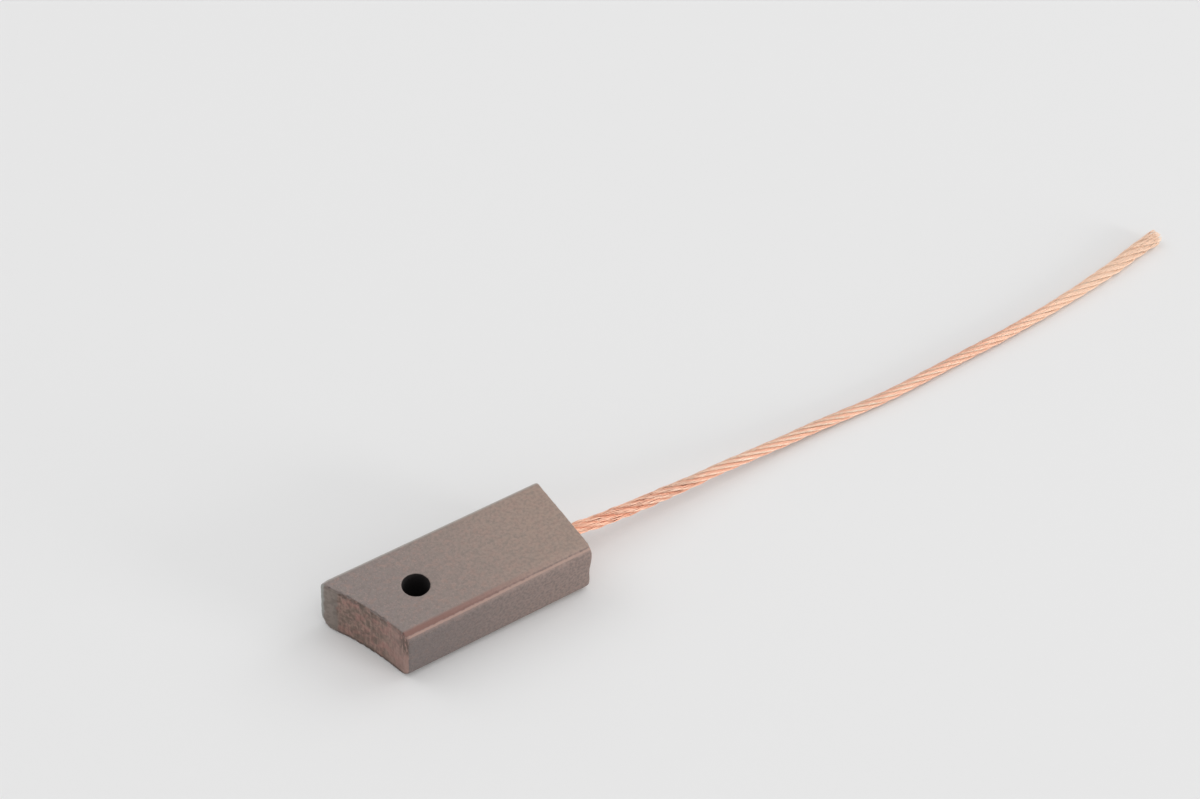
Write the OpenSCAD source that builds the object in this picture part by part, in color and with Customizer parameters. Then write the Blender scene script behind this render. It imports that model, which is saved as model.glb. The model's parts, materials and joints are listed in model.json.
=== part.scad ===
// Carbon brush with a bare stranded shunt.
// The pressed copper-graphite block lies on one wide face, +Z up. The origin is the centre of
// that face, +X runs towards the shunt, and the commutator works on the -X end.

/* [Block] */
// Length of the block along its long side
block_l = 24; // [21:0.5:32]
// Width of the block across the shunt end
block_w = 10; // [8:0.1:16]
// Thickness of the block
block_t = 6.3; // [5:0.1:12.5]

/* [Contact face] */
// Strip of the pressed square end that grinding leaves at the long side
end_land = 0.6; // [0.2:0.1:1.5]
// Slant of the ground face across the block, in degrees
contact_slant = 21; // [5:0.5:25]
// Radius of the commutator that the face is ground to
commutator_r = 28; // [20:1:60]

/* [Long edges] */
// Round of the three full long edges
edge_r = 1.2; // [0.4:0.1:2]
// Round of the crisp upper edge on the long side
crisp_edge_r = 0.6; // [0.2:0.1:2]

/* [Cross hole] */
// Diameter of the hole through the wide faces
hole_d = 2.6; // [1.5:0.1:3.5]
// Distance of the hole from the shunt end
hole_from_back = 16.6; // [12:0.1:19]

/* [Shunt socket] */
// Diameter of the blind socket in the shunt end
socket_d = 2.4; // [2:0.1:3.6]
// Depth of the socket's straight wall
socket_depth = 7; // [5:0.5:8]
// Point angle of the drill that made the socket, in degrees
drill_point = 118; // [90:1:140]
// How far the tamped powder lies below the shunt end
powder_recess = 0.2; // [0:0.1:0.5]

/* [Shunt] */
// Diameter of the stranded copper shunt
shunt_d = 1.2; // [0.8:0.1:1.6]
// Length of shunt that the tamped powder grips
shunt_grip = 6; // [4:0.5:7]

/* [Hidden] */

// Cuts run this far past the faces that they open
over = 1;
shunt_sides = 8;

back_x = block_l / 2;
shunt_z = block_t / 2;
hole_x = back_x - hole_from_back;
point_h = socket_d / 2 / tan(drill_point / 2);

// The commutator's circle passes through both ends of the ground face's chord
ground_w = block_w - end_land;
chord = ground_w / cos(contact_slant);
chord_x = -block_l / 2 + ground_w * tan(contact_slant) / 2;
chord_y = -end_land / 2;
chord_to_axis = sqrt(commutator_r * commutator_r - chord * chord / 4);
commutator_x = chord_x - chord_to_axis * cos(contact_slant);
commutator_y = chord_y - chord_to_axis * sin(contact_slant);

// Height of the shunt's centreline where it lies on the floor
lie_z = shunt_d / 2;

// The shunt's route: x and y from the point where it leaves the block, z above the floor.
// It runs straight out, bends down under its own weight and lies along the floor.
route = [
    [-shunt_grip, 0, shunt_z], [0, 0, shunt_z], [1.5, 0, shunt_z], [4, -0.1, 2.8],
    [7, -0.1, 2.5], [10, -0.1, 2.2], [13, 0, 1.9], [16, 0, 1.7], [19, 0.1, 1.5],
    [22, 0.1, 1.3], [25, 0.1, 1.1], [28, 0.1, 0.9], [31, 0.1, 0.8], [34, 0, 0.7],
    [37, -0.1, lie_z], [40, -0.2, lie_z], [43, -0.2, lie_z], [46, -0.1, lie_z],
    [49, 0, lie_z], [52, 0.1, lie_z], [55, 0.2, lie_z], [58, 0.3, lie_z],
    [61, 0.5, lie_z], [64, 0.7, lie_z], [67, 1, lie_z], [70, 1.3, lie_z],
    [73, 1.7, lie_z], [76, 2.1, lie_z], [79, 2.7, lie_z], [81, 3, lie_z],
    [83, 3.3, lie_z]
];

// Waste outside a round corner of radius r, with the corner at the origin
module corner_waste(r) {
    difference() {
        translate([-over, -over]) square(r + over);
        translate([r, r]) circle(r = r, $fn = 48);
    }
}

// The pressed section: y across the block, z through its thickness
module pressed_section() {
    half = block_w / 2;
    difference() {
        translate([-half, 0]) square([block_w, block_t]);
        translate([-half, 0]) corner_waste(edge_r);
        translate([half, 0]) mirror([1, 0]) corner_waste(edge_r);
        translate([-half, block_t]) mirror([0, 1]) corner_waste(edge_r);
        translate([half, block_t]) rotate(180) corner_waste(crisp_edge_r);
    }
}

// A drilled socket along -X from the origin, with the drill's conical point
module drilled(d, depth) {
    rotate([0, -90, 0]) {
        cylinder(d = d, h = depth, $fn = 64);
        translate([0, 0, depth]) cylinder(d1 = d, d2 = 0, h = point_h, $fn = 64);
    }
}

module brush_block() {
    color([0.56, 0.51, 0.48])
    difference() {
        translate([-block_l / 2, 0, 0]) rotate([90, 0, 90])
            linear_extrude(height = block_l) pressed_section();
        translate([commutator_x, commutator_y, -over])
            cylinder(r = commutator_r, h = block_t + 2 * over, $fn = 240);
        translate([hole_x, 0, -over])
            cylinder(d = hole_d, h = block_t + 2 * over, $fn = 64);
        translate([back_x + over, 0, shunt_z]) drilled(socket_d, socket_depth + over);
    }
}

module tamped_powder() {
    color([0.62, 0.44, 0.35])
    translate([back_x - powder_recess, 0, shunt_z])
    difference() {
        drilled(socket_d, socket_depth - powder_recess);
        translate([powder_recess - shunt_grip, 0, 0]) rotate([0, 90, 0])
            cylinder(d = shunt_d, h = shunt_grip + over, $fn = 64);
    }
}

// Direction of the route at point i
function heading(i) =
    let (a = route[max(i - 1, 0)], b = route[min(i + 1, len(route) - 1)])
    (b - a) / norm(b - a);

// One ring of the shunt: a polygon square to the route, with a level flat below
function ring(i) =
    let (
        t = heading(i),
        side = cross([0, 0, 1], t) / norm(cross([0, 0, 1], t)),
        up = cross(t, side)
    )
    [for (k = [0 : shunt_sides - 1])
        let (a = (k + 0.5) * 360 / shunt_sides)
        route[i] + shunt_d / 2 * (cos(a) * side + sin(a) * up)];

module shunt_cord() {
    rings = len(route);
    points = [for (i = [0 : rings - 1]) each ring(i)];
    walls = [for (i = [0 : rings - 2], k = [0 : shunt_sides - 1])
        let (next = (k + 1) % shunt_sides)
        [i * shunt_sides + k, (i + 1) * shunt_sides + k,
            (i + 1) * shunt_sides + next, i * shunt_sides + next]];
    start_cap = [for (k = [0 : shunt_sides - 1]) k];
    end_cap = [for (k = [shunt_sides - 1 : -1 : 0]) (rings - 1) * shunt_sides + k];
    color([0.87, 0.63, 0.51])
    translate([back_x, 0, 0])
        polyhedron(points = points, faces = concat(walls, [start_cap, end_cap]), convexity = 10);
}

brush_block();
tamped_powder();
shunt_cord();
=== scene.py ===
# %% [markdown]
# # A carbon brush with a stranded copper shunt
#
# This notebook dresses the CAD model of a small motor brush. The brush is a pressed block of copper and
# graphite. One end is ground to the curve of a commutator, and a bare copper rope, called a shunt, carries
# the current away from the other end.
#
# Every object is in metres and in the CAD model's own frame: the block lies on its wide face, +X runs
# towards the shunt, +Y towards the block's long side and +Z up.

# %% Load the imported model
import json
import math
from types import SimpleNamespace

import bmesh
import bpy
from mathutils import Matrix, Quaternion, Vector, noise
from mathutils.bvhtree import BVHTree
from mathutils.kdtree import KDTree


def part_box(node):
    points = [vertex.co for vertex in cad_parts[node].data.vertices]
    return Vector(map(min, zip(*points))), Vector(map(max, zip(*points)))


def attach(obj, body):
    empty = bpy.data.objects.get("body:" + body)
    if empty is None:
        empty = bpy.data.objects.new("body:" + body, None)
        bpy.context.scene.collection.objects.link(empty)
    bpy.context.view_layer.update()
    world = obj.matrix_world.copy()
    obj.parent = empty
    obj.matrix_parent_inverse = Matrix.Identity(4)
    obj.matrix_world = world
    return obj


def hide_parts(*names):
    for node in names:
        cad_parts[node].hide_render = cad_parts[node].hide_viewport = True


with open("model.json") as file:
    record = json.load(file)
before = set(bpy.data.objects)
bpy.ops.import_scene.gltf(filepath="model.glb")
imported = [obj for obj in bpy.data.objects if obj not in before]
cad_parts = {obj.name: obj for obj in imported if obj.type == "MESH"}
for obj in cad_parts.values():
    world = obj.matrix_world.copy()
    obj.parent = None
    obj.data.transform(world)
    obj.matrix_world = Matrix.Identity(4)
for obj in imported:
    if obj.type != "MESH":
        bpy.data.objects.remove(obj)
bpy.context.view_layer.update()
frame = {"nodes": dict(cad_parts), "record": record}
MM = 0.001

block_low, block_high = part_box("brush_block")
mounts = {mount["name"]: mount for mount in frame["record"]["mounts"]}
print("CAD nodes:", sorted(frame["nodes"]))
print("block, mm:", [round(c / MM, 2) for c in block_low], "to", [round(c / MM, 2) for c in block_high])

# %% [markdown]
# ## Camera
#
# The brush is looked at from above and from the side of its ground end. A lens of 70 mm keeps the
# perspective gentle. The camera is placed by what it looks at: a point on the floor, a distance, an
# azimuth, an elevation and a small roll about its own axis.

# %% Camera
AIM = Vector((26.96, 15.28, 0.0)) * MM
CAMERA_DISTANCE = 244.0 * MM
CAMERA_AZIMUTH = math.radians(-37.97)
CAMERA_ELEVATION = math.radians(47.07)
CAMERA_ROLL = math.radians(5.30)

camera_data = bpy.data.cameras.new("camera")
camera_data.sensor_width = 36.0
camera_data.lens = 70.23
camera_data.clip_start = 0.01
camera_data.clip_end = 20.0
camera = bpy.data.objects.new("camera", camera_data)
bpy.context.scene.collection.objects.link(camera)
bpy.context.scene.camera = camera

towards_camera = Vector((
    math.sin(CAMERA_AZIMUTH) * math.cos(CAMERA_ELEVATION),
    -math.cos(CAMERA_AZIMUTH) * math.cos(CAMERA_ELEVATION),
    math.sin(CAMERA_ELEVATION),
))
camera.location = AIM + towards_camera * CAMERA_DISTANCE
camera.rotation_mode = "QUATERNION"
upright_view = (-towards_camera).to_track_quat("-Z", "Y")
camera.rotation_quaternion = upright_view @ Quaternion((0, 0, 1), CAMERA_ROLL)
bpy.context.scene.view_settings.view_transform = "Standard"
print("camera, mm:", [round(c / MM, 1) for c in camera.location])

# %% [markdown]
# ## A small language for node trees
#
# Materials and Geometry Nodes are both trees of nodes. Adding each Math node by hand is slow to write and
# hard to read, so `Signal` wraps one output socket and lets Python's operators add the Math nodes.
# `Tree.add` makes any other node: it takes the node's type, its settings and what goes into its sockets.


# %% Signals and trees
class Signal:
    """One output socket. An expression on signals adds Math nodes to their tree."""

    def __init__(self, tree, socket):
        self.tree = tree
        self.socket = socket

    def maths(self, operation, *others):
        return self.tree.maths(operation, self, *others)

    def __add__(self, other):
        return self.maths("ADD", other)

    def __radd__(self, other):
        return self.tree.maths("ADD", other, self)

    def __sub__(self, other):
        return self.maths("SUBTRACT", other)

    def __rsub__(self, other):
        return self.tree.maths("SUBTRACT", other, self)

    def __mul__(self, other):
        return self.maths("MULTIPLY", other)

    def __truediv__(self, other):
        return self.maths("DIVIDE", other)

    def __gt__(self, other):
        return self.maths("GREATER_THAN", other)

    def step(self, low, high):
        """0 below low, 1 above high and a smooth rise between them."""
        settings = {"interpolation_type": "SMOOTHSTEP"}
        return self.tree.add("ShaderNodeMapRange", settings, {0: self, 1: low, 2: high})


class Tree:
    """A node tree that nodes are added to."""

    def __init__(self, node_tree):
        self.nodes = node_tree.nodes
        self.links = node_tree.links

    def add(self, kind, settings=None, sockets=None, out=0):
        """Makes a node, sets it up, fills its sockets and returns one of its outputs."""
        node = self.nodes.new(kind)
        for name, value in (settings or {}).items():
            setattr(node, name, value)
        for key, value in (sockets or {}).items():
            self.fill(self.find(node.inputs, key), value)
        return Signal(self, self.find(node.outputs, out))

    def fill(self, socket, value):
        if isinstance(value, Signal):
            self.links.new(value.socket, socket)
        elif socket.type == "RGBA":
            socket.default_value = (*value, 1)
        else:
            socket.default_value = value

    def find(self, sockets, key):
        """A socket by its number, its identifier or its name."""
        if isinstance(key, int):
            return sockets[key]
        return next(s for s in sockets if key in (s.identifier, s.name))

    def maths(self, operation, *values):
        return self.add("ShaderNodeMath", {"operation": operation}, dict(enumerate(values)))

    def vector(self, operation, *values):
        return self.add("ShaderNodeVectorMath", {"operation": operation}, dict(enumerate(values)))

    def distance(self, x, y):
        """How far the level place x, y is from the origin."""
        place = self.joined(x, y, 0.0)
        return self.add("ShaderNodeVectorMath", {"operation": "LENGTH"}, {0: place}, "Value")

    def scaled(self, vector, factor):
        return self.add("ShaderNodeVectorMath", {"operation": "SCALE"}, {0: vector, "Scale": factor})

    def joined(self, x, y, z):
        return self.add("ShaderNodeCombineXYZ", None, {0: x, 1: y, 2: z})

    def parts(self, vector):
        """The x, y and z of a vector."""
        split = self.add("ShaderNodeSeparateXYZ", None, {0: vector}).socket.node
        return [Signal(self, socket) for socket in split.outputs]

    def mix(self, factor, first, second):
        sockets = {"Factor_Float": factor, "A_Color": first, "B_Color": second}
        return self.add("ShaderNodeMix", {"data_type": "RGBA"}, sockets, "Result_Color")

    def layered(self, colour, layers):
        """A colour with others laid over it in turn, each by its own mask."""
        for mask, over in layers:
            colour = self.mix(mask, colour, over)
        return colour

    def noise(self, place, scale, detail=2.0):
        """Smooth random values round 0.5; 1/scale is about the size of a patch."""
        return self.add("ShaderNodeTexNoise", None, {"Vector": place, "Scale": scale, "Detail": detail})


def new_material(name):
    """A material, the tree to build in and its Principled BSDF."""
    material = bpy.data.materials.new(name)
    material.use_nodes = True
    return material, Tree(material.node_tree), material.node_tree.nodes["Principled BSDF"]


print("ready to build trees")

# %% [markdown]
# ## The finish of the copper wire
#
# Bare copper mirrors what is round it, tinted with its own colour. A rope that has been handled isn't quite
# clean, so its wires are mostly metal, and less so at the cut end, which is pale and dull.
#
# The rope's node tree stores four numbers on every wire: a tone of its own, the length along the rope, how
# far the wire lies on the outside of its strand, and how far the strand lies on top of the rope. From these
# come a painted highlight along each wire's crown, weaker near the block as its painted shadow, painted
# shade in deeper red between the wires, the redder wires where the rope is loosened at the block, paler
# wires underneath as a painted reflection of the pale floor, and paler ones towards the cut. One noise adds
# stains, and a finer one adds painted glints and dull spots.

# %% Colours of the wire
WIRE_SIDE = {
    "plain": (0.860, 0.530, 0.400),
    "further_on": (0.835, 0.595, 0.470),
    # painted reflection of the pale floor on the rope's underside
    "painted_floor_reflection": (0.860, 0.735, 0.600),
    "loosened": (0.990, 0.590, 0.430),
    "cut_end": (1.000, 0.800, 0.650),
}
# Painted highlights along the wires' crowns
WIRE_CROWN_HIGHLIGHT = {
    "plain": (0.880, 0.715, 0.580),
    "further_on": (0.890, 0.775, 0.645),
    "painted_floor_reflection": (0.960, 0.900, 0.780),
    "loosened": (0.990, 0.765, 0.615),
    "cut_end": (1.000, 0.980, 0.900),
}
# Painted shade: a deeper red between the wires, where they shade one another
WIRE_GAP_SHADE = {
    "plain": (0.860, 0.465, 0.325),
    "loosened": (0.990, 0.530, 0.370),
    "cut_end": (1.000, 0.680, 0.480),
}
WIRE_DULL = {
    "plain": (0.860, 0.530, 0.385),
    "cut_end": (1.000, 0.700, 0.510),
}
WIRE_STAIN = (0.880, 0.580, 0.430)
# Painted glints: small bright spots on the crowns
WIRE_PAINTED_GLINT = (1.000, 0.900, 0.760)
WIRE_EDGE_TINT = (1.000, 0.800, 0.660)
print("regions of the wire:", ", ".join(WIRE_SIDE))


# %% Copper wire
def by_region(tree, masks, colours):
    """The plain colour, with those of the regions laid over it in the order of the masks."""
    layers = [(mask, colours[region]) for region, mask in masks.items() if region in colours]
    return tree.layered(colours["plain"], layers)


def bare_copper_wire():
    material, tree, shader = new_material("bare_copper_wire")
    tone, along, crown, topside = (
        tree.add("ShaderNodeAttribute", {"attribute_name": name}, None, "Fac")
        for name in ("wire_tone", "along", "crown", "topside")
    )
    place = tree.add("ShaderNodeTexCoord", None, None, "Object")
    patches = tree.noise(place, 900.0)
    spots = tree.noise(place, 2300.0)

    # Regions of the rope: lengths are in metres from its buried end
    further_on = along.step(0.012, 0.065)
    # Painted reflection: wires on the rope's underside are paler, for the pale floor mirrored in them
    painted_floor_reflection = (1 - topside.step(0.25, 0.85)) * along.step(0.018, 0.050)
    loosened = 1 - along.step(0.010, 0.024)
    cut_end = along.step(0.060, 0.085)
    masks = {
        "further_on": further_on,
        "painted_floor_reflection": painted_floor_reflection,
        "loosened": loosened,
        "cut_end": cut_end,
    }

    # Painted highlight: a wire is palest along its crown, and less so near the block, as a painted shadow of
    # the block
    bright = crown.step(0.35 - cut_end * 0.35, 0.90 - cut_end * 0.2)
    bright = bright * (0.25 + along.step(0.006, 0.030) * 0.50)
    stained = tone * 0.12 + patches.step(0.45, 0.75) * 0.2
    # Painted highlight: small glints on the crowns, more on the underside
    painted_glints = spots.step(0.50, 0.66) * crown.step(0.0, 0.8) * (0.25 + painted_floor_reflection * 0.30)
    dull = (1 - spots.step(0.34, 0.48)) * (0.40 - cut_end * 0.18 - loosened * 0.15)
    # Painted shade between the wires, where each wire turns inward
    painted_gap_shade = (1 - crown.step(-0.1, 0.60)) * (0.65 - cut_end * 0.30 - loosened * 0.15)
    colour = tree.layered(by_region(tree, masks, WIRE_SIDE), [
        (bright, by_region(tree, masks, WIRE_CROWN_HIGHLIGHT)),
        (stained, WIRE_STAIN),
        (painted_glints, WIRE_PAINTED_GLINT),
        (dull, by_region(tree, masks, WIRE_DULL)),
        (painted_gap_shade, by_region(tree, masks, WIRE_GAP_SHADE)),
    ])

    tree.fill(shader.inputs["Base Color"], colour)
    roughness = 0.40 - further_on * 0.08 + cut_end * 0.08 + tone * 0.12 + patches * 0.1
    tree.fill(shader.inputs["Roughness"], roughness)
    tree.fill(shader.inputs["Metallic"], 0.7 - cut_end * 0.35)
    tree.fill(shader.inputs["Specular Tint"], WIRE_EDGE_TINT)
    return material


wire_finish = bare_copper_wire()
print("made", wire_finish.name)

# %% [markdown]
# ## The shunt's route
#
# A shunt is a short length of very flexible rope. It leaves the block straight, bends down under its own
# weight and lies along the floor. The points are those of the CAD tube, in millimetres: x and y from where
# it leaves the block, z above the floor.

# %% Route of the shunt
SHUNT_DIAMETER = 1.2 * MM
GRIP = 6.0
shunt_exit = Vector((block_high.x, 0.0, block_high.z / 2))
exit_z = shunt_exit.z / MM
lie_z = SHUNT_DIAMETER / 2 / MM

route = [
    (-GRIP, 0, exit_z), (0, 0, exit_z), (1.5, 0, exit_z), (4, -0.1, 2.8), (7, -0.1, 2.5),
    (10, -0.1, 2.2), (13, 0, 1.9), (16, 0, 1.7), (19, 0.1, 1.5), (22, 0.1, 1.3), (25, 0.1, 1.1),
    (28, 0.1, 0.9), (31, 0.1, 0.8), (34, 0, 0.7), (37, -0.1, lie_z), (40, -0.2, lie_z),
    (43, -0.2, lie_z), (46, -0.1, lie_z), (49, 0, lie_z), (52, 0.1, lie_z), (55, 0.2, lie_z),
    (58, 0.3, lie_z), (61, 0.5, lie_z), (64, 0.7, lie_z), (67, 1, lie_z), (70, 1.3, lie_z),
    (73, 1.7, lie_z), (76, 2.1, lie_z), (79, 2.7, lie_z), (81, 3, lie_z), (83, 3.3, lie_z),
]
path = [Vector((shunt_exit.x + x * MM, y * MM, z * MM)) for x, y, z in route]

# %% [markdown]
# ## The rope as a rule
#
# Six strands are laid round a seventh, and each strand is itself a ring of fine wires: a helix on a helix.
# A node tree writes that rule down once for every wire. Its sizes are named inputs, so that another rope
# needs only other numbers. Most are lengths. Inner Wire Place is how far out the inner wires lie, as a share
# of their ring. Hidden Share is the share of the rope's length over which they can't be seen. Loosening and
# Opening say how much thicker the rope gets.

# %% The rope's inputs
ROPE = {
    "Rope Diameter": SHUNT_DIAMETER,
    "Outer Strands": 6,
    "Ring Wires": 14,
    "Inner Wires": 4,
    "Strand Pitch": 12.8 * MM,
    "Wire Pitch": 5.0 * MM,
    "Wire Diameter": 0.07 * MM,
    "Inner Wire Place": 0.4,
    "Hidden Share": 0.74,
    "Ring Spacing": 0.62 * MM,
    "Gripped Length": GRIP * MM,
    "Loose Length": 25.0 * MM,
    "Loosening": 0.18,
    "Opened Length": 24.0 * MM,
    "Opening": 0.40,
    "Frayed Length": 5.0 * MM,
    "Fray": 0.054 * MM,
    "Wire Waviness": 0.03 * MM,
    "Uneven Cut": 0.35 * MM,
    "Seed": 7,
}

rope_group = bpy.data.node_groups.new("laid_rope", "GeometryNodeTree")
rope_group.interface.new_socket("Geometry", in_out="INPUT", socket_type="NodeSocketGeometry")
rope_group.interface.new_socket("Geometry", in_out="OUTPUT", socket_type="NodeSocketGeometry")
rope_inputs = {}
for name, value in ROPE.items():
    kind = "NodeSocketInt" if isinstance(value, int) else "NodeSocketFloat"
    rope_inputs[name] = rope_group.interface.new_socket(name, in_out="INPUT", socket_type=kind).identifier

rope = Tree(rope_group)
size = {name: rope.add("NodeGroupInput", None, None, name) for name in ROPE}
print("rope inputs:", ", ".join(ROPE))

# %% [markdown]
# ## One copy of the centreline for each wire
#
# The route becomes a smooth curve with evenly spaced points. Duplicate Elements then copies it once for
# each wire and numbers the copies. From the number follow the wire's strand and its place in the strand.
# The last strand is the core, and the last wires of each strand lie inside the ring.

# %% Copies of the centreline
TURN = 2 * math.pi
ROUNDING_GUARD = 0.001

chain = rope.add("NodeGroupInput", None, None, "Geometry")
line = rope.add("GeometryNodeMeshToCurve", None, {"Mesh": chain})
smooth = rope.add("GeometryNodeCurveSplineType", {"spline_type": "CATMULL_ROM"}, {"Curve": line})
even = rope.add(
    "GeometryNodeResampleCurve", {"mode": "LENGTH"}, {"Curve": smooth, "Length": size["Ring Spacing"]}
)
upright = rope.add("GeometryNodeSetCurveNormal", {"mode": "Z_UP"}, {"Curve": even})

wires_in_strand = size["Ring Wires"] + size["Inner Wires"]
copies = rope.add(
    "GeometryNodeDuplicateElements",
    {"domain": "SPLINE"},
    {"Geometry": upright, "Amount": (size["Outer Strands"] + 1) * wires_in_strand},
)
number = Signal(rope, copies.socket.node.outputs["Duplicate Index"])
strand = (number / wires_in_strand + ROUNDING_GUARD).maths("FLOOR")
wire = number - strand * wires_in_strand
in_core = strand > size["Outer Strands"] - 0.5
inside_ring = wire > size["Ring Wires"] - 0.5
print("copies:", (ROPE["Outer Strands"] + 1) * (ROPE["Ring Wires"] + ROPE["Inner Wires"]))

# %% [markdown]
# ## Two helices
#
# The strands turn right-handed along the rope, and the wires turn against them, which is why a rope doesn't
# untwist. Both angles change evenly with the length along the curve. A slow noise, the slack, keeps the
# strands from lying like machined parts, and it counts for more where the rope is loosened, just outside
# the block. Towards the cut end the rope opens, because nothing holds its strands there.
#
# The slack moves a strand round the rope by an angle in radians and in and out by a share of its radius.
# Strands lie far apart in the noise, so that each has a slack of its own.

# %% Angles and radii
SLACK_PER_METRE = 220.0
STRANDS_APART = 3.7
SLACK_ANGLE = 0.2
LOOSE_SLACK_ANGLE = 0.7
SLACK_RADIUS = 0.16
FRAY_SWELL = 0.2

along = rope.add("GeometryNodeSplineParameter", None, None, "Length")
rest_of_line = rope.add("GeometryNodeSplineLength") - along
opened = 1 - rest_of_line.step(0.0, size["Opened Length"])
frayed = 1 - rest_of_line.step(0.0, size["Frayed Length"])
loose = along.step(size["Gripped Length"], size["Gripped Length"] * 1.5)
loose = loose * (1 - along.step(size["Loose Length"] * 0.6, size["Loose Length"]))
slack = rope.noise(rope.joined(along * SLACK_PER_METRE, strand * STRANDS_APART, 0.5), 1.0, 1.0) - 0.5

strand_angle = strand / size["Outer Strands"] * TURN + along / size["Strand Pitch"] * TURN
strand_angle = strand_angle + slack * (SLACK_ANGLE + loose * LOOSE_SLACK_ANGLE)
ring_share = wire / size["Ring Wires"]
inner_share = (wire - size["Ring Wires"]) / size["Inner Wires"]
share = ring_share + inside_ring * (inner_share - ring_share)
wire_angle = share * TURN - along / size["Wire Pitch"] * TURN

strand_radius = size["Rope Diameter"] / 6
swell = 1 + opened * size["Opening"] + loose * size["Loosening"]
lay_radius = size["Rope Diameter"] / 3 * (1 - in_core) * swell * (1 + slack * SLACK_RADIUS)
ring_radius = strand_radius - size["Wire Diameter"] / 2
ring_radius = ring_radius * (1 - inside_ring * (1 - size["Inner Wire Place"]))
ring_radius = ring_radius * swell * (1 + frayed * FRAY_SWELL)
print("lay angle at the crown, degrees:",
      round(math.degrees(math.atan(math.pi * SHUNT_DIAMETER / ROPE["Strand Pitch"])), 1))

# %% [markdown]
# ## Each wire's place
#
# Two directions square to the centreline, one level and one downward, carry the strand's helix. The wire's
# own helix is square to the strand and not to the rope, so its second direction leans by the lay angle.
# Each wire waves a little, more so where the rope is loosened, and near the cut it also strays its own way.
# Nothing may sink into the floor, so the height is clamped: the least height counts in wire diameters.

# %% Set the position of every point
WAVES_PER_METRE = 600.0
WIRES_APART = 5.3
LOOSE_WAVINESS = 8.0
CUT_REACH = 0.8
LEAST_HEIGHT = 0.6

tangent = rope.add("GeometryNodeInputTangent")
level = rope.add("GeometryNodeInputNormal", None, None, "Normal")
downward = rope.vector("CROSS_PRODUCT", tangent, level)

outward = rope.vector(
    "ADD",
    rope.scaled(level, strand_angle.maths("COSINE")),
    rope.scaled(downward, strand_angle.maths("SINE")),
)
sideways = rope.vector("CROSS_PRODUCT", tangent, outward)
lean = lay_radius * TURN / size["Strand Pitch"]
across = rope.vector("NORMALIZE", rope.vector("SUBTRACT", sideways, rope.scaled(tangent, lean)))

stray = rope.add(
    "FunctionNodeRandomValue",
    {"data_type": "FLOAT_VECTOR"},
    {"Min": (-1, -1, -1), "Max": (1, 1, 1), "ID": number, "Seed": size["Seed"]},
)
offset = rope.scaled(outward, lay_radius + ring_radius * wire_angle.maths("COSINE"))
offset = rope.vector("ADD", offset, rope.scaled(across, ring_radius * wire_angle.maths("SINE")))
offset = rope.vector("ADD", offset, rope.scaled(stray, frayed * size["Fray"]))

wave_place = rope.joined(along * WAVES_PER_METRE, number * WIRES_APART, 0.7)
wave = rope.add("ShaderNodeTexNoise", None, {"Vector": wave_place, "Scale": 1.0, "Detail": 1.0}, "Color")
wave = rope.vector("SUBTRACT", wave, (0.5, 0.5, 0.5))
waviness = size["Wire Waviness"] * (1 + loose * LOOSE_WAVINESS)
offset = rope.vector("ADD", offset, rope.scaled(wave, waviness))
offset = rope.vector("ADD", offset, rope.scaled(tangent, frayed * size["Uneven Cut"] * CUT_REACH))

offset_x, offset_y, offset_z = rope.parts(offset)
height = rope.parts(rope.add("GeometryNodeInputPosition"))[2]
offset_z = offset_z.maths("MAXIMUM", size["Wire Diameter"] * LEAST_HEIGHT - height)
placed = rope.add(
    "GeometryNodeSetPosition",
    None,
    {"Geometry": copies, "Offset": rope.joined(offset_x, offset_y, offset_z)},
)
print("placed by", len(rope.nodes), "nodes so far")

# %% [markdown]
# ## Cut ends and round wires
#
# Cutters never leave all wires the same length, so each wire is trimmed by a random amount. The core strand
# and the wires inside each ring show only where the rope opens, so they are kept over its last quarter. A
# six-sided profile with smooth shading is enough for such thin wires. They are made thicker where the rope
# opens, so that it looks full. The tree ends in plain geometry with its material.
#
# Four numbers are stored on the wires for their material, each by a node of the same kind.

# %% Trim, sweep and finish
PROFILE_SIDES = 6
PROFILE_RADIUS = 0.55
FRAY_THICKNESS = 0.3


def random_number(seed):
    """A random number from 0 to 1 for each wire."""
    sockets = {"ID": number, "Seed": size["Seed"] + seed}
    return rope.add("FunctionNodeRandomValue", {"data_type": "FLOAT"}, sockets, "Value_001")


def stored(geometry, name, value):
    """The geometry with a number stored on each of its points."""
    settings = {"data_type": "FLOAT", "domain": "POINT"}
    sockets = {"Geometry": geometry, "Name": name, "Value": value}
    return rope.add("GeometryNodeStoreNamedAttribute", settings, sockets)


cut_back = random_number(1)
marked = stored(placed, "wire_tone", random_number(2))
marked = stored(marked, "along", along)
marked = stored(marked, "crown", wire_angle.maths("COSINE"))
marked = stored(marked, "topside", 0 - strand_angle.maths("SINE"))
trimmed = rope.add(
    "GeometryNodeTrimCurve",
    {"mode": "FACTOR"},
    {
        "Curve": marked,
        "Start": inside_ring.maths("MAXIMUM", in_core) * size["Hidden Share"],
        "End": 1 - cut_back * size["Uneven Cut"] / rope.add("GeometryNodeSplineLength"),
    },
)
profile = rope.add(
    "GeometryNodeCurvePrimitiveCircle",
    {"mode": "RADIUS"},
    {"Resolution": PROFILE_SIDES, "Radius": size["Wire Diameter"] * PROFILE_RADIUS},
)
thickness = swell * (1 + frayed * FRAY_THICKNESS)
thickened = rope.add("GeometryNodeSetCurveRadius", None, {"Curve": trimmed, "Radius": thickness})
swept = rope.add(
    "GeometryNodeCurveToMesh", None, {"Curve": thickened, "Profile Curve": profile, "Fill Caps": True}
)
rounded = rope.add("GeometryNodeSetShadeSmooth", None, {"Geometry": swept, "Shade Smooth": True})
realized = rope.add("GeometryNodeRealizeInstances", None, {"Geometry": rounded})
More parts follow.
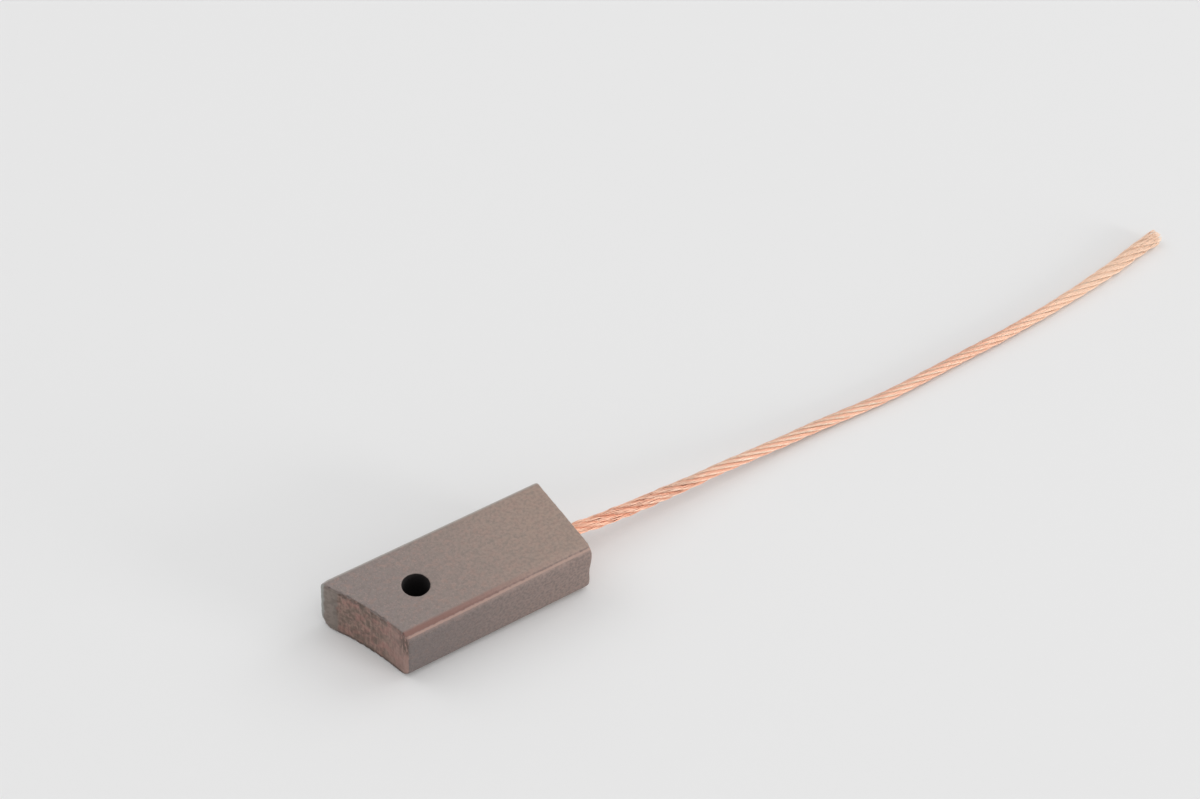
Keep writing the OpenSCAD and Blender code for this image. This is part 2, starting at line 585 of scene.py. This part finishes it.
finished = rope.add("GeometryNodeSetMaterial", None, {"Geometry": realized, "Material": wire_finish})
rope.fill(rope.nodes.new("NodeGroupOutput").inputs["Geometry"], finished)
print("the rope's tree has", len(rope.nodes), "nodes")

# %% [markdown]
# ## Run the tree
#
# The tree works on an object that holds only the route, as a chain of edges. Its inputs are set by their
# identifiers. What comes out is copied to a plain mesh in an object of its own, which rides on the frame and
# replaces the plain CAD tube.


# %% The shunt
def mesh_from_tree(name, points, group, identifiers, values):
    """A plain mesh object made by a node tree from a chain of points."""
    chain = bpy.data.meshes.new(name + "_route")
    chain.from_pydata(points, [(i, i + 1) for i in range(len(points) - 1)], [])
    carrier = bpy.data.objects.new(name + "_route", chain)
    bpy.context.scene.collection.objects.link(carrier)
    modifier = carrier.modifiers.new("tree", "NODES")
    modifier.node_group = group
    for key, value in values.items():
        modifier[identifiers[key]] = value
    evaluated = carrier.evaluated_get(bpy.context.evaluated_depsgraph_get())
    mesh = bpy.data.meshes.new_from_object(evaluated)
    carrier.modifiers.remove(modifier)
    bpy.data.objects.remove(carrier)
    return place_piece(name, mesh)


def place_piece(name, mesh):
    """An object at the origin, with its place in its mesh."""
    mesh.name = name
    piece = bpy.data.objects.new(name, mesh)
    bpy.context.scene.collection.objects.link(piece)
    return piece


def triangles(mesh):
    return sum(len(face.vertices) - 2 for face in mesh.polygons)


shunt = mesh_from_tree("stranded_shunt", path, rope_group, rope_inputs, ROPE)
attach(shunt, "root")
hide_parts("shunt_cord")
print("shunt triangles:", triangles(shunt.data))

# %% [markdown]
# ## Floor and light
#
# The brush lies on a pale sheet in a light tent. The tent's front wall glows most, so bare metal has
# something pale to mirror, and its back wall and its roof are dimmer. The tent gives about half of the
# light. Four soft lamps shine through it: a wide one overhead gives another quarter, one on the right and
# one behind on the left shape the edges, and a low one from the front right draws highlights along the
# wires. Together they light a level surface at about 1, so colours render about as written.

# %% Floor
FLOOR_SIZE = 4.0
FLOOR_DROP = 0.01 * MM
FLOOR_TONE = (0.84, 0.84, 0.84)


def pale_floor():
    material, _, shader = new_material("pale_sheet")
    shader.inputs["Base Color"].default_value = (*FLOOR_TONE, 1)
    shader.inputs["Roughness"].default_value = 0.9
    shader.inputs["Specular IOR Level"].default_value = 0.0
    return material


half = FLOOR_SIZE / 2
floor_mesh = bpy.data.meshes.new("floor")
corners = [(-half, -half), (half, -half), (half, half), (-half, half)]
floor_mesh.from_pydata([(x, y, -FLOOR_DROP) for x, y in corners], [], [(0, 1, 2, 3)])
floor_mesh.materials.append(pale_floor())
place_piece("floor", floor_mesh)
print("floor, m:", FLOOR_SIZE, "wide and deep")

# %% Tent and lamps
TENT_ROOF = 0.50
TENT_FRONT = 0.92
TENT_BACK = 0.55
LAMP_DISTANCE = 1.6


def soft_tent():
    """A world with a bright wall in front, a dimmer one behind and a dimmer roof."""
    world = bpy.data.worlds.new("soft_tent")
    world.use_nodes = True
    tree = Tree(world.node_tree)
    tree.nodes.clear()
    _, back_share, upward_share = tree.parts(tree.add("ShaderNodeTexCoord", None, None, "Generated"))
    walls = TENT_FRONT + back_share.step(-0.6, 0.6) * (TENT_BACK - TENT_FRONT)
    strength = walls + upward_share.step(0.0, 0.6) * (TENT_ROOF - walls)
    glow = tree.add("ShaderNodeBackground", None, {"Color": (1, 1, 1), "Strength": strength})
    tree.fill(tree.nodes.new("ShaderNodeOutputWorld").inputs["Surface"], glow)
    bpy.context.scene.world = world


def soft_lamp(name, azimuth, elevation, width, share):
    """A square lamp aimed at the brush. Its share is the light that it gives a surface facing it."""
    data = bpy.data.lights.new(name, "AREA")
    data.shape = "SQUARE"
    data.size = width
    data.energy = share * (math.pi * LAMP_DISTANCE) ** 2
    lamp = bpy.data.objects.new(name, data)
    bpy.context.scene.collection.objects.link(lamp)
    a, e = math.radians(azimuth), math.radians(elevation)
    away = Vector((math.sin(a) * math.cos(e), -math.cos(a) * math.cos(e), math.sin(e)))
    lamp.location = AIM + away * LAMP_DISTANCE
    lamp.rotation_mode = "QUATERNION"
    lamp.rotation_quaternion = (-away).to_track_quat("-Z", "Y")


soft_tent()
soft_lamp("roof_lamp", azimuth=13, elevation=80, width=1.60, share=0.24)
soft_lamp("right_lamp", azimuth=87, elevation=38, width=1.03, share=0.18)
soft_lamp("left_lamp", azimuth=215, elevation=46, width=1.00, share=0.155)
soft_lamp("low_lamp", azimuth=34, elevation=10, width=0.50, share=0.30)
print("lamps:", len(bpy.data.lights))

# %% [markdown]
# ## The block's own shape
#
# The block was pressed from powder and its end was ground and then worn by running. CAD gives the true
# solid, but real edges are a little broken and the ground face is rough. A copy of the solid is merged,
# remeshed into small even faces and laid back on the true surface, so that flats stay flat. Then material
# is only taken away, never added: a rub along every sharp edge, a shallow dent in an upright edge at the
# back, two corners worn round, nicks along the upper edge of the ground face, and its pits and grooves.
# All of these sizes are in millimetres.

# %% The ground face, from its driving sizes
END_LAND = 0.6
CONTACT_SLANT = math.radians(21)
COMMUTATOR_R = 28.0
EDGE_R = 1.2
FAR_EDGE_R = 0.6

block_l, block_w, block_t = ((high - low) / MM for low, high in zip(block_low, block_high))
ground_w = block_w - END_LAND
chord = ground_w / math.cos(CONTACT_SLANT)
chord_to_axis = math.sqrt(COMMUTATOR_R**2 - chord**2 / 4)
drum_x = -block_l / 2 + ground_w * math.tan(CONTACT_SLANT) / 2 - chord_to_axis * math.cos(CONTACT_SLANT)
drum_y = -END_LAND / 2 - chord_to_axis * math.sin(CONTACT_SLANT)
print("commutator axis at x, y, mm:", round(drum_x, 2), round(drum_y, 2))

# %% A fine, even mesh of the block
MESH_SIZE = 0.12
SHARP_EDGE = math.radians(28)


def merged_solid(node):
    """A CAD node's loose triangles as one merged solid, in millimetres."""
    solid = bmesh.new()
    solid.from_mesh(frame["nodes"][node].data)
    bmesh.ops.scale(solid, vec=(1 / MM, 1 / MM, 1 / MM), verts=solid.verts)
    bmesh.ops.remove_doubles(solid, verts=solid.verts, dist=0.0005)
    return solid


def remeshed(solid, name):
    """The solid's surface as small even faces."""
    mesh = bpy.data.meshes.new(name)
    solid.to_mesh(mesh)
    carrier = place_piece(name, mesh)
    modifier = carrier.modifiers.new("even_faces", "REMESH")
    modifier.mode = "VOXEL"
    modifier.voxel_size = MESH_SIZE
    evaluated = carrier.evaluated_get(bpy.context.evaluated_depsgraph_get())
    even_mesh = bpy.data.meshes.new_from_object(evaluated)
    carrier.modifiers.remove(modifier)
    bpy.data.objects.remove(carrier)
    return even_mesh


def sharp_edge_points(solid, spacing=0.05):
    """Points along the solid's sharp edges, in a tree that finds the nearest."""
    points = []
    for edge in solid.edges:
        if len(edge.link_faces) == 2 and edge.calc_face_angle() > SHARP_EDGE:
            a, b = (vert.co for vert in edge.verts)
            count = max(1, math.ceil((b - a).length / spacing))
            points += [a.lerp(b, i / count) for i in range(count + 1)]
    tree = KDTree(len(points))
    for i, point in enumerate(points):
        tree.insert(point, i)
    tree.balance()
    return tree


block_solid = merged_solid("brush_block")
block_surface = BVHTree.FromBMesh(block_solid)
block_edges = sharp_edge_points(block_solid)
block_mesh = remeshed(block_solid, "block_copy")
print("block faces:", len(block_mesh.polygons))


# %% Wear of the block
RUB_DEPTH = 0.06
RUB_REACH = 0.25
DENT_DEPTH = 0.09
DENT_HEIGHT = 3.0
DENT_REACH = 1.4
UPPER_CORNER_DEPTH = 0.14
UPPER_CORNER_REACH = 0.9
LOWER_CORNER_DEPTH = 0.30
LOWER_CORNER_REACH = 1.5
NICK_DEPTH = 0.30
NICK_REACH = 0.5
PIT_DEPTH = 0.035
GROOVE_DEPTH = 0.035
SMOOTH_MARGIN = 1.6


def fade(distance, reach):
    """1 at no distance, 0 from reach on."""
    share = min(max(1 - distance / reach, 0), 1)
    return share * share * (3 - 2 * share)


def over(value, low, high):
    """0 below low, 1 above high."""
    return 1 - fade(value - low, high - low)


def on_ground_face(place, slack=0.02):
    return math.hypot(place.x - drum_x, place.y - drum_y) < COMMUTATOR_R + slack


def rubbed_edges(place, edge_gap):
    """Every sharp edge has lost a little, more here and less there."""
    return RUB_DEPTH * fade(edge_gap, RUB_REACH) * (1 + 0.8 * noise.noise(place * 2.2))


def dented_back(place):
    """A shallow dent half-way up the upright edge at the back."""
    at_back = over(place.x, block_l / 2 - 0.9, block_l / 2 - 0.4)
    in_front = over(-place.y, block_w / 2 - 1.0, block_w / 2 - 0.4)
    return DENT_DEPTH * at_back * in_front * fade(abs(place.z - DENT_HEIGHT), DENT_REACH)


def rounded_corners(place):
    """The two corners of the square strip are worn round, the lower one more."""
    lower_corner = Vector((-block_l / 2, block_w / 2, 0))
    upper_corner = lower_corner + Vector((0, 0, block_t))
    lower = fade((place - lower_corner).length, LOWER_CORNER_REACH)
    upper = fade((place - upper_corner).length, UPPER_CORNER_REACH)
    return LOWER_CORNER_DEPTH * lower + UPPER_CORNER_DEPTH * upper


def nicks(place, edge_gap):
    """Crumbled spots along the upper edge of the ground face."""
    crumbled = over(noise.noise(place * 2.4 + Vector((5, 0, 0))), -0.1, 0.3)
    at_top = over(place.z, block_t - 0.8, block_t - 0.3)
    return NICK_DEPTH * crumbled * at_top * fade(edge_gap, NICK_REACH)


def grooves(place):
    """Fine pits and upright grooves of the ground face, none of them beside the long side."""
    rough = over(-place.y, SMOOTH_MARGIN - block_w / 2, SMOOTH_MARGIN - block_w / 2 + 0.8)
    pits = PIT_DEPTH * over(noise.fractal(place * 1.4, 1.0, 2.0, 2), 0.0, 0.8)
    groove = noise.noise(Vector((place.y * 3.2 + place.z * 0.5, place.z * 0.35, 4.0)))
    return rough * (pits + GROOVE_DEPTH * over(groove, 0.1, 0.6))


def wear(mesh):
    """Lays the mesh on the true surface and takes the worn material away."""
    normals = [vert.normal.copy() for vert in mesh.vertices]
    for vert, normal in zip(mesh.vertices, normals):
        place = block_surface.find_nearest(vert.co)[0]
        edge_gap = block_edges.find(place)[2]
        depth = rubbed_edges(place, edge_gap) + dented_back(place) + rounded_corners(place)
        if on_ground_face(place):
            depth += nicks(place, edge_gap) + grooves(place)
        vert.co = (place - normal * depth) * MM


wear(block_mesh)
block_mesh.polygons.foreach_set("use_smooth", [True] * len(block_mesh.polygons))
block_solid.free()
print("worn block triangles:", triangles(block_mesh))

# %% [markdown]
# ## The finish of the block
#
# Pressed copper-graphite is neither metal nor stone: grey-brown graphite holds fine copper grains, so it is
# dull with a warm mottle. All of it is worked out from Object coordinates, turned into millimetres, so that
# the numbers read as sizes. Each region of the block gets a mask, a number from 0 to 1, and masks mix the
# colours. What several steps share is kept together: the place on the block, noises of several sizes and
# the mask of the ground face.

# %% Places on the block
hole_x = mounts["cross_hole"]["pos_m"][0] / MM
hole_r = mounts["cross_hole"]["dims"]["r_mm"]
print("cross hole, mm: x", round(hole_x, 2), "radius", hole_r)


def block_places(tree):
    """The place in millimetres, noises from coarse to fine and the mask of the ground face."""
    place = tree.scaled(tree.add("ShaderNodeTexCoord", None, None, "Object"), 1 / MM)
    x, y, z = tree.parts(place)
    off_axis = tree.distance(x - drum_x, y - drum_y)
    return SimpleNamespace(
        place=place,
        x=x,
        y=y,
        z=z,
        clouds=tree.noise(place, 0.45, 3.0),
        patches=tree.noise(place, 1.7, 3.0),
        tint=tree.noise(place, 1.8, 2.0),
        grain=tree.noise(place, 3.2, 3.0),
        mottle=tree.noise(place, 3.2, 4.0),
        fine=tree.noise(place, 8.0),
        ground=1 - off_axis.step(COMMUTATOR_R + 0.03, COMMUTATOR_R + 0.12),
    )


# %% [markdown]
# ### Pressed faces
#
# The faces that the press tool left have soft clouds and grains of two sizes. They are darker towards the
# ground end. The two narrow sides are painted darker than the wide faces, as painted shade of upright faces
# that get less light.


# %% Pressed faces
def pressed_colour(tree, at):
    paler_end = (at.x + at.clouds * 4.0).step(-9.0, 15.0)
    on_far_curve = (at.y > 0) * (at.z - (block_t - FAR_EDGE_R)).step(-0.1, 0.2)
    narrow_side = at.y.maths("ABSOLUTE").step(block_w / 2 - 0.65, block_w / 2 - 0.5) * (1 - on_far_curve)
    narrow_side = narrow_side * (1 - at.x.step(block_l / 2 - 0.2, block_l / 2 - 0.05))
    wide_tone = tree.mix(paler_end, (0.258, 0.216, 0.204), (0.374, 0.277, 0.226))
    # Painted shade: the narrow sides' darker tone and the shade factor on their grains stand for upright
    # faces getting less light
    painted_narrow_shade = tree.mix(paler_end, (0.056, 0.048, 0.054), (0.200, 0.144, 0.145))
    shade = 1 - narrow_side * 0.36

    warm_clouds = at.tint.step(0.5, 0.7) * 0.45
    dull_clouds = (1 - at.tint.step(0.3, 0.5)) * 0.35
    dark_grains = at.grain.step(0.38, 0.68) * (0.42 + narrow_side * 0.2)
    copper_grains = at.fine.step(0.50, 0.75) * (0.5 + narrow_side * 0.3)
    return tree.layered(wide_tone, [
        (narrow_side * 0.5, painted_narrow_shade),
        (warm_clouds, tree.scaled((0.37, 0.25, 0.21), shade)),
        (dull_clouds, tree.scaled((0.26, 0.225, 0.195), shade)),
        (dark_grains, tree.scaled((0.20, 0.165, 0.15), shade)),
        (copper_grains, tree.scaled((0.42, 0.31, 0.27), shade)),
    ])


print("narrow sides, mm: y =", -block_w / 2, "and", block_w / 2)

# %% [markdown]
# ### Ground face
#
# The ground face is the rough one. It has reddish blushes and upright streaks. Its dark rims above and below
# are painted shade, under the crumbled upper edge and along the floor, and a gouge beside its near edge is
# painted dark as the shade inside it. Along the block's long side it is smooth and glazed.


# %% Ground face
def ground_colour(tree, at):
    blush = tree.noise(tree.vector("ADD", at.place, (7.0, 3.0, 5.0)), 0.9, 2.0)
    streaks = tree.noise(tree.vector("MULTIPLY", at.place, (4.2, 4.2, 0.9)), 1.0, 2.0)
    right_edge = -block_w / 2

    # Painted shade under the crumbled upper edge
    high_rim_shade = (at.z + at.mottle * 0.9).step(block_t - 0.25, block_t + 0.15) * at.tint.step(0.40, 0.55)
    # Painted shadow along the floor at the foot of the face
    low_rim_shadow = 1 - (at.z + at.mottle * 0.5).step(0.35, 0.95)
    right_part = 1 - (at.y + at.patches * 2.0).step(-3.5, 0.5)
    near_corner = 1 - (at.y + at.mottle * 0.5).step(right_edge + 0.45, right_edge + 0.95)
    near_corner = near_corner * (1 - at.z.step(3.4, 4.4))
    # Painted shade: a dark upright mark that stands for the shade inside a gouge
    painted_gouge_shade = 1 - (at.y + streaks * 1.2).step(right_edge + 1.3, right_edge + 2.3)
    painted_gouge_shade = painted_gouge_shade * at.z.step(3.0, 4.2) * streaks.step(0.42, 0.54)
    patched = tree.mix(at.patches.step(0.34, 0.64), (0.158, 0.109, 0.086), (0.320, 0.202, 0.168))
    return tree.layered(patched, [
        (at.mottle.step(0.40, 0.62) * 0.4, (0.142, 0.101, 0.080)),
        (blush.step(0.46, 0.66) * 0.5, (0.375, 0.185, 0.158)),
        ((1 - blush.step(0.30, 0.50)) * 0.35, (0.178, 0.143, 0.112)),
        (streaks.step(0.50, 0.70) * 0.45, (0.115, 0.085, 0.068)),
        ((1 - streaks.step(0.30, 0.48)) * 0.35, (0.385, 0.280, 0.228)),
        (high_rim_shade * 0.7, (0.090, 0.070, 0.060)),
        (right_part * 0.35, (0.43, 0.28, 0.25)),
        (low_rim_shadow * 0.85, (0.080, 0.060, 0.050)),
        (near_corner * 0.45, (0.43, 0.27, 0.23)),
        (painted_gouge_shade * 0.75, (0.080, 0.056, 0.042)),
    ])


def glaze_colour(tree, at, glazed):
    """The smooth strip along the long side, darker where it starts."""
    start = glazed * (1 - (at.y + at.patches).step(3.8, 4.2))
    glaze = tree.mix(at.patches.step(0.4, 0.6), (0.190, 0.152, 0.130), (0.240, 0.195, 0.168))
    return tree.mix(start * 0.3, glaze, (0.120, 0.100, 0.085))


near_x = drum_x + math.sqrt(COMMUTATOR_R**2 - (block_w / 2 + drum_y)**2)
print("near edge of the ground face, mm: x", round(near_x, 2))

# %% [markdown]
# ### Rubbed edges
#
# A holder rubs a brush along its edges. The upper near edge is rounded in CAD, and the angle round its
# curve tells the bands apart: a pale line on its lower half and a brown band above it, both stronger towards
# the ground end. The line is rubbed copper and also a painted highlight where the curve faces the light. The
# far upper edge is painted pale as a painted highlight.


# %% Rubbed edges
def near_edge(tree, at):
    """The layers of the near edge's two bands, and the mask of its pale line, which is partly a painted
    highlight.
    """
    side_out = EDGE_R - block_w / 2 - at.y
    top_out = at.z - (block_t - EDGE_R)
    on_curve = (side_out > 0) * (top_out > 0) * (1 - at.ground)
    worn_part = 1 - (at.x + at.clouds * 3.0).step(-5.0, 11.0)

    # 0 on the side face and 90 on the top
    angle = top_out.maths("ARCTAN2", side_out) * (180 / math.pi)
    ragged = angle + (at.mottle - 0.5) * 10.0 - (1 - worn_part) * 5.0
    brown = on_curve * ragged.step(45.0, 51.0) * (1 - ragged.step(66.0, 84.0))
    brown_tone = tree.mix(worn_part, (0.290, 0.125, 0.100), (0.225, 0.115, 0.094))
    # The pale line: rubbed copper, and a painted highlight where the curve faces the light
    line = on_curve * (1 - ragged.step(45.0, 50.0))
    line = line * (ragged.step(34.0, 39.0) * 0.65 + ragged.step(14.0, 38.0) * 0.3)
    line_highlight_tone = tree.mix(worn_part, (0.430, 0.295, 0.245), (0.375, 0.247, 0.208))
    layers = [
        (brown * (0.05 + worn_part * 0.85), brown_tone),
        (line * (0.75 + worn_part * 0.15), line_highlight_tone),
    ]
    return layers, line


# Painted highlight: the far upper edge's pale rim
def far_edge_highlight(at):
    side_out = at.y - (block_w / 2 - FAR_EDGE_R)
    top_out = at.z - (block_t - FAR_EDGE_R)
    return side_out.step(0.0, FAR_EDGE_R * 0.7) * top_out.step(FAR_EDGE_R * 0.4, FAR_EDGE_R * 0.7)


print("edge radii, mm: near", EDGE_R, "far", FAR_EDGE_R)

# %% [markdown]
# ### The whole finish
#
# The regions are laid over the pressed faces one after the other. Hardly any light comes back out of the
# cross hole, so it is nearly black. Bump makes the finest grain, which is too small for the mesh.


# %% Pressed copper-graphite
def copper_graphite():
    material, tree, shader = new_material("pressed_copper_graphite")
    at = block_places(tree)
    glazed = (at.y + at.patches).step(3.4, 3.8)
    face = tree.mix(glazed, ground_colour(tree, at), glaze_colour(tree, at, glazed))
    # Painted reflection: the square strip at the ground end is pale grey, for the bright surroundings
    # mirrored in it
    square_strip_reflection = 1 - at.x.step(-block_l / 2 + 0.08, -block_l / 2 + 0.22)
    square_strip_reflection = square_strip_reflection * (1 - at.ground) * at.y.step(3.9, 4.1)
    near_edge_layers, line = near_edge(tree, at)
    in_hole = 1 - tree.distance(at.x - hole_x, at.y).step(hole_r + 0.03, hole_r + 0.09)
    colour = tree.layered(pressed_colour(tree, at), [
        (at.ground, face),
        (square_strip_reflection, (0.33, 0.33, 0.31)),
        *near_edge_layers,
        # Painted highlight along the far upper edge
        (far_edge_highlight(at) * 0.85, (0.50, 0.48, 0.45)),
        (in_hole, (0.012, 0.009, 0.009)),
    ])

    tree.fill(shader.inputs["Base Color"], colour)
    roughness = 0.62 + at.grain * 0.15 - line * 0.15 - glazed * at.ground * 0.12 + in_hole * 0.3
    tree.fill(shader.inputs["Roughness"], roughness)
    tree.fill(shader.inputs["Metallic"], (0.15 + line * 0.35) * (1 - in_hole))
    height = at.grain * 0.6 + at.fine * 0.4 + at.mottle * at.ground * (1 - glazed) * 0.7
    relief = {"Height": height, "Strength": 0.4, "Distance": 0.03 * MM}
    tree.fill(shader.inputs["Normal"], tree.add("ShaderNodeBump", None, relief, "Normal"))
    return material


block_mesh.materials.clear()
block_mesh.materials.append(copper_graphite())
block = place_piece("pressed_block", block_mesh)
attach(block, "root")
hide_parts("brush_block")
print("block piece:", block.name)

# %% [markdown]
# ## The tamped powder
#
# The shunt is held by copper powder that was rammed round it in its socket. Only a small ring of it shows
# behind the brush, so the CAD solid keeps its own mesh and gets a crumbly copper finish.


# %% Tamped copper powder
def tamped_copper():
    material, tree, shader = new_material("tamped_copper_powder")
    place = tree.scaled(tree.add("ShaderNodeTexCoord", None, None, "Object"), 1 / MM)
    crumbs = tree.noise(place, 9.0, 4.0)
    colour = tree.mix(crumbs.step(0.35, 0.65), (0.16, 0.08, 0.06), (0.50, 0.28, 0.20))
    tree.fill(shader.inputs["Base Color"], colour)
    tree.fill(shader.inputs["Roughness"], 0.75 - crumbs * 0.3)
    tree.fill(shader.inputs["Metallic"], crumbs.step(0.4, 0.7) * 0.6)
    relief = {"Height": crumbs, "Strength": 0.8, "Distance": 0.1 * MM}
    tree.fill(shader.inputs["Normal"], tree.add("ShaderNodeBump", None, relief, "Normal"))
    return material


powder = frame["nodes"]["tamped_powder"]
for material_slot in powder.material_slots:
    material_slot.material = tamped_copper()
print("powder slots:", len(powder.material_slots))
